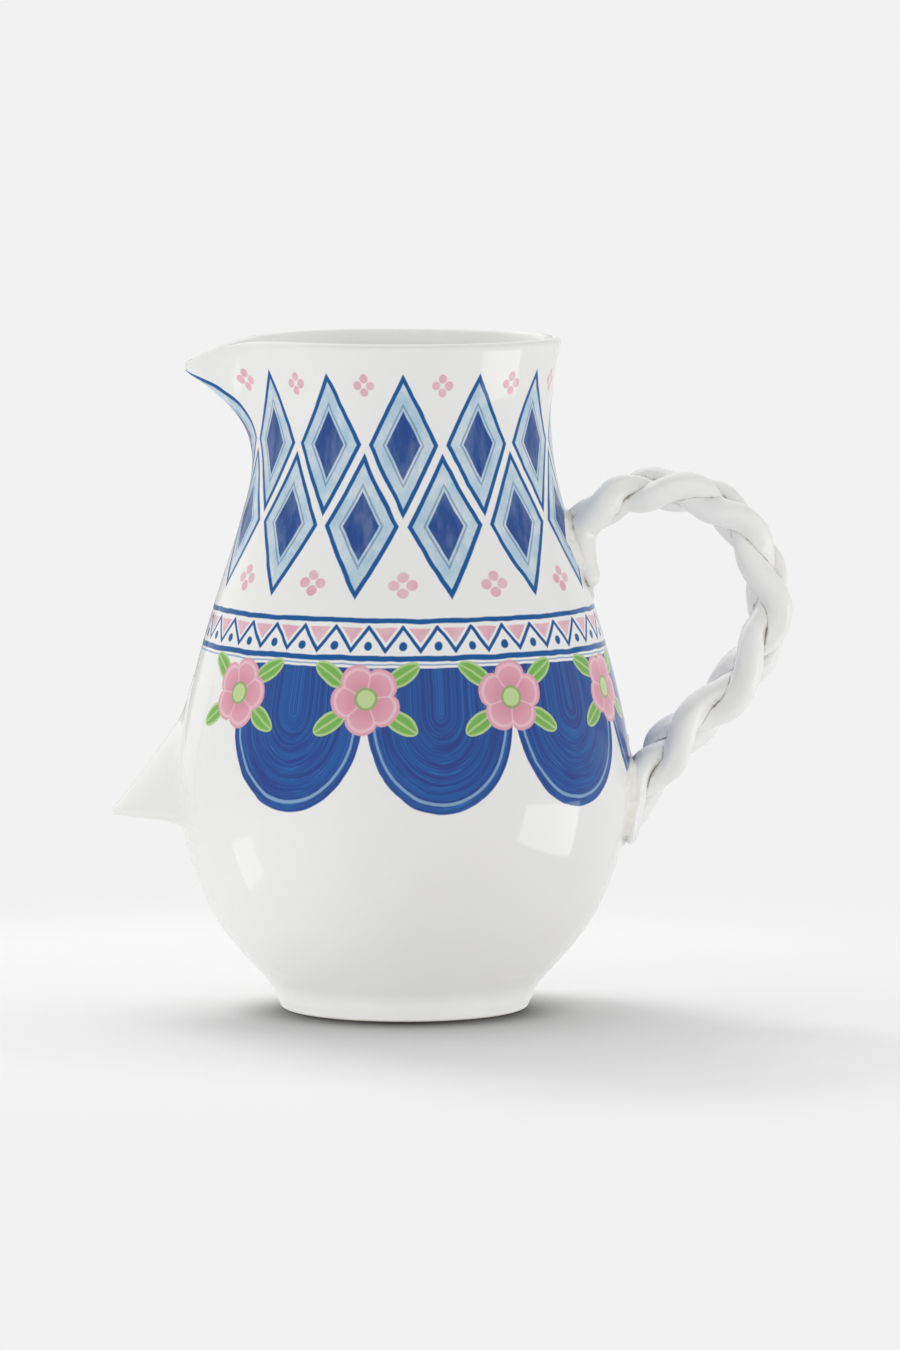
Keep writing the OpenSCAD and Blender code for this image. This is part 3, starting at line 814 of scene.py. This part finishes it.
plait_skins = []
for strand in range(3):
    rings = strand_rings(strand)
    rings[1:-1] = (rings[:-2] + 2 * rings[1:-1] + rings[2:]) / 4
    rings = (np.roll(rings, 1, axis=1) + 2 * rings + np.roll(rings, -1, axis=1)) / 4
    ends = np.array([rings[0].mean(axis=0), rings[-1].mean(axis=0)])
    plait_skins.append(rings.reshape(-1, 3))
    faces = [face[::-1] for face in tube_faces(len(rings), strand_sides)]
    piece = mesh_piece("plait_strand_%d" % (strand + 1), np.concatenate([plait_skins[-1], ends]), faces)
    material, shader, place = new_paint("handle_glaze_%d" % (strand + 1))
    # Painted shade: an occlusion mask darkens the creases between the strands to grey beige, partly glaze
    # pooled there and partly shade. Dark flecks are laid only in the creases.
    crease_shade_and_pooling = 1 - place.add("ShaderNodeAmbientOcclusion", {"samples": 8}, {"Distance": 0.003}, 1)
    flecks = place.spots(260, 3, 0.65).rise(0.46, 0.62) * crease_shade_and_pooling.rise(0.16, 0.46)
    # The handle's glaze is a whiter white than the body's, a painted brightening of the handle's shade.
    colour = clay_white(place, "#f5f5f3").over(0.75 * crease_shade_and_pooling.rise(0.42, 0.9), tint("#bdb6a8"))
    colour = colour.over(0.7 * flecks, tint("#9c9688"))
    glaze(shader, place, colour, 0.09, 0.0002)
    piece.data.materials.append(material)
    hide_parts("handle_strand_%d" % (strand + 1))
    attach(piece, "root")


# The luting: soft clay and slip smeared round the two ends of the plait to join it to the wall, left
# lumpy by the fingers and filled by the glaze.
slip_reach = 4.5
slip_thick = 0.55
slip_edge, slip_ragged, slip_rough = 2.5, 2.2, 0.35
smear_rows, smear_columns = 91, 81
neck_smear = [[-1, 0], [-0.75, 3], [-0.2, 12], [0.4, 17], [0.8, 12], [1, 4]]
belly_smear = [[-1, 0], [-0.85, 5], [-0.6, 11], [-0.2, 17], [0.2, 24], [0.4, 20], [0.5, 9], [0.6, 0],
               [1, 0]]
plait_spots = np.concatenate(plait_skins).tolist()
slip_tree = kdtree.KDTree(len(plait_spots))
for i, spot in enumerate(plait_spots):
    slip_tree.insert(spot, i)
slip_tree.balance()


def smear(name, node, middle_z, half_h, half_w, half_ws, seed):
    """A thin lumpy coat of slip on the wall that climbs up to the strands lying in it."""
    rows, columns = smear_rows, smear_columns
    v, u = np.meshgrid(np.linspace(-1, 1, rows), np.linspace(-1, 1, columns), indexing="ij")
    z = middle_z + half_h * v
    turn = half_w * u / wall_r(z)
    wall_spots = np.stack([wall_r(z) * np.cos(turn), wall_r(z) * np.sin(turn), z], axis=2).reshape(-1, 3)
    gap = np.array([slip_tree.find(spot)[2] for spot in wall_spots.tolist()]).reshape(u.shape)
    spread_w = np.interp(v, *zip(*half_ws)) / half_w
    rough = np.array([noise.noise((a * 3.1 + seed, b * 2.1, seed)) for a, b in zip(u.ravel(), v.ravel())])
    lumps = np.array([noise.noise((a * 5 + seed, b * 9, seed)) for a, b in zip(u.ravel(), v.ravel())])
    rough, lumps = rough.reshape(u.shape), lumps.reshape(u.shape)
    spread = np.minimum((spread_w - np.abs(u)) * half_w, (1 - np.abs(v)) * half_h)
    spread = spread + slip_ragged * rough
    swollen = np.where(spread > 0, 1 + 0.9 * lumps, 1.4)
    coat = slip_thick * np.clip(spread / slip_edge, -0.6, 1) * swollen + slip_rough * rough * (spread > 0)
    climb = np.maximum(0, slip_reach - gap) ** 2 / (2 * slip_reach) * np.clip(spread / 2 + 1, 0, 1)
    thick = np.maximum(coat, -0.4) + climb
    edge = np.minimum(1 - np.abs(u), 1 - np.abs(v))
    thick = np.where(edge < 0.05, -0.5, thick)
    front_r, back_r = wall_r(z) + thick, wall_r(z) - sheet_sunk
    front = np.stack([front_r * np.cos(turn), front_r * np.sin(turn), z], axis=2).reshape(-1, 3)
    back = np.stack([back_r * np.cos(turn), back_r * np.sin(turn), z], axis=2).reshape(-1, 3)
    faces = [face[::-1] for face in sheet_faces(rows, columns, len(front))]
    piece = mesh_piece(name, np.concatenate([front, back]), faces)
    material, shader, place = new_paint(name + "_glaze")
    blotch = place.spots(210, 3, 0.6).rise(0.35, 0.7)
    colour = clay_white(place, "#f1f0ec").over(0.4 * blotch, tint("#d6d0c2"))
    glaze(shader, place, colour, 0.1, 0.0003)
    piece.data.materials.append(material)
    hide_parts(node)
    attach(piece, "root")


smear("neck_luting", "upper_luting", middle_z=162, half_h=17, half_w=21, half_ws=neck_smear, seed=3.1)
smear("belly_luting", "lower_luting", middle_z=77, half_h=22, half_w=40, half_ws=belly_smear, seed=7.7)

# The studio: a sheet of pale paper that fades into an even pale ground, with soft daylight from all
# round and five soft lamps. Two tall windows, a bright edge on the right and a grey card behind on the
# left are there only for the glaze to mirror.
backdrop_code, paper_code, shadow_code = "#f2f2f2", "#f9f9f9", "#3c3c3a"
paper_half = 6
fade_near, fade_far = 0.085, 0.36
flat_share = 0.5
contact_reach, shadow_reach = 0.02, 0.14
lean_right, lean_front, lean_least = 2, 17, 0.3
daylight_strength = 0.485


def studio_sheet(name, corners):
    """A flat sheet with four corners, in metres, and the material, shader and place on it."""
    mesh = bpy.data.meshes.new(name)
    mesh.from_pydata(corners, [], [(0, 1, 2, 3)])
    sheet = bpy.data.objects.new(name, mesh)
    bpy.context.scene.collection.objects.link(sheet)
    material, shader, place = new_paint(name + "_paint")
    mesh.materials.append(material)
    shader.inputs["Roughness"].default_value = 1
    shader.inputs["Specular IOR Level"].default_value = 0
    return sheet, shader, place


def looked_at(camera_ray):
    """1 for what the camera, the glaze or glass looks at directly."""
    seen = camera_ray
    for name in ("Is Glossy Ray", "Is Transmission Ray"):
        seen = seen.most(Paint(seen.tree, camera_ray.socket.node.outputs[name]))
    return seen


floor, shader, place = studio_sheet("studio_floor", [
    (-paper_half, -paper_half, 0), (paper_half, -paper_half, 0),
    (paper_half, paper_half, 0), (-paper_half, paper_half, 0)])
floor.visible_glossy = False
fx, fy, _ = place.parts()
far = (fx * fx + fy * fy).root().rise(fade_near, fade_far)
camera_ray = place.add("ShaderNodeLightPath", {}, {})

# The jug's own shadow is deepened where little light reaches the paper, most at the front
contact, shadow = (1 - place.add("ShaderNodeAmbientOcclusion", {"samples": 16}, {"Distance": reach}, 1)
                   for reach in (contact_reach, shadow_reach))
lean = (1 + fx * lean_right - fy * lean_front).most(lean_least)
dark = camera_ray * lean * (contact * contact * 0.4 + shadow * (shadow * 0.55 + 0.2))
paper, ground = (dark.mixed(tint(code), tint(shadow_code)) for code in (paper_code, backdrop_code))
place.tree.links.new(paper.socket, shader.inputs["Base Color"])
flat = place.add("ShaderNodeBsdfPrincipled", {}, {
    "Base Color": tint("#000000"), "Roughness": 1.0, "Specular IOR Level": 0.0,
    "Emission Color": ground, "Emission Strength": 1.0})
lit = Paint(place.tree, shader.outputs[0])
shown = place.add("ShaderNodeMixShader", {}, {
    0: far.most(flat_share) * looked_at(camera_ray), 1: lit, 2: flat})
place.tree.links.new(shown.socket, place.tree.nodes["Material Output"].inputs["Surface"])

card_y, card_left, card_right, card_low, card_high = 2, -1.1, -0.08, -0.04, 1.05
card, shader, place = studio_sheet("grey_card", [
    (card_left, card_y, card_low), (card_right, card_y, card_low),
    (card_right, card_y, card_high), (card_left, card_y, card_high)])
shader.inputs["Base Color"].default_value = tint("#000000")
shader.inputs["Emission Color"].default_value = tint("#a6a6a4")
shader.inputs["Emission Strength"].default_value = 1
card.visible_camera = False
card.visible_diffuse = False
card.visible_transmission = False
card.visible_shadow = False

world = bpy.data.worlds.new("studio_daylight")
world.use_nodes = True
bpy.context.scene.world = world
sky = Paint(world.node_tree)
daylight = world.node_tree.nodes["Background"]
daylight.inputs["Color"].default_value = (1, 1, 1, 1)
daylight.inputs["Strength"].default_value = daylight_strength
backdrop = sky.add("ShaderNodeBackground", {}, {"Color": tint(backdrop_code), "Strength": 1.0})
shown = sky.add("ShaderNodeMixShader", {}, {
    0: looked_at(sky.add("ShaderNodeLightPath", {}, {})), 1: Paint(sky.tree, daylight.outputs[0]),
    2: backdrop})
world.node_tree.links.new(shown.socket, world.node_tree.nodes["World Output"].inputs["Surface"])


def soft_light(name, place_at, look_at, width, height, power, mirrored=False):
    """A rectangular light that faces a point. A mirrored one shows in the glaze and lights nothing."""
    lamp = bpy.data.lights.new(name, "AREA")
    lamp.shape = "RECTANGLE"
    lamp.size, lamp.size_y = width, height
    lamp.energy = power
    light = bpy.data.objects.new(name, lamp)
    light.location = place_at
    toward = [b - a for a, b in zip(place_at, look_at)]
    heading = math.atan2(toward[1], toward[0])
    dip = math.atan2(-toward[2], math.hypot(toward[0], toward[1]))
    light.rotation_euler = (math.pi / 2 - dip, 0, heading - math.pi / 2)
    light.visible_camera = False
    light.visible_glossy = mirrored
    if mirrored:
        light.visible_diffuse = False
        light.visible_shadow = False
    bpy.context.scene.collection.objects.link(light)


soft_light("key_left", (-1.9, -0.7, 0.9), (0, 0, 0.1), 1.3, 1.3, 8.8)
soft_light("fill_front", (-0.1, -2.3, 0.3), (0, 0, 0.03), 2.2, 0.4, 7)
soft_light("fill_high", (1.0, -0.9, 1.9), (0, 0, 0.2), 0.8, 0.8, 1.2)
soft_light("fill_right", (2.1, -0.3, 0.7), (0.06, 0, 0.1), 0.9, 0.9, 9)
soft_light("fill_top", (-0.6, 1.2, 1.5), (0, 0, 0.1), 0.7, 0.7, 20)
soft_light("window_left", (-1.39, 0.116, -0.605), (-0.054, -0.055, 0.058), 0.40, 0.29, 0.75, mirrored=True)
soft_light("window_right", (1.475, -0.25, -0.36), (0.051, -0.061, 0.083), 0.98, 0.46, 5.0, mirrored=True)
soft_light("edge_right", (1.35, 0.75, 0.35), (0.05, -0.03, 0.13), 1.5, 1.9, 0.7, mirrored=True)

# The camera: a long lens a little above the jug, as in the photograph.
camera_x, camera_height, camera_distance, camera_tilt = 16.3, 405.0, 3005.9, 0.09487
photo_height, photo_focal = 1350, 8461.0
lens = bpy.data.cameras.new("photo_camera")
lens.sensor_fit = "VERTICAL"
lens.sensor_height = 36
lens.lens = photo_focal * lens.sensor_height / photo_height
camera = bpy.data.objects.new("photo_camera", lens)
camera.location = (camera_x * MM, -camera_distance * MM, camera_height * MM)
camera.rotation_euler = (math.pi / 2 - camera_tilt, 0, 0)
bpy.context.scene.collection.objects.link(camera)
bpy.context.scene.camera = camera
bpy.context.scene.view_settings.view_transform = "Standard"

bpy.context.view_layer.update()
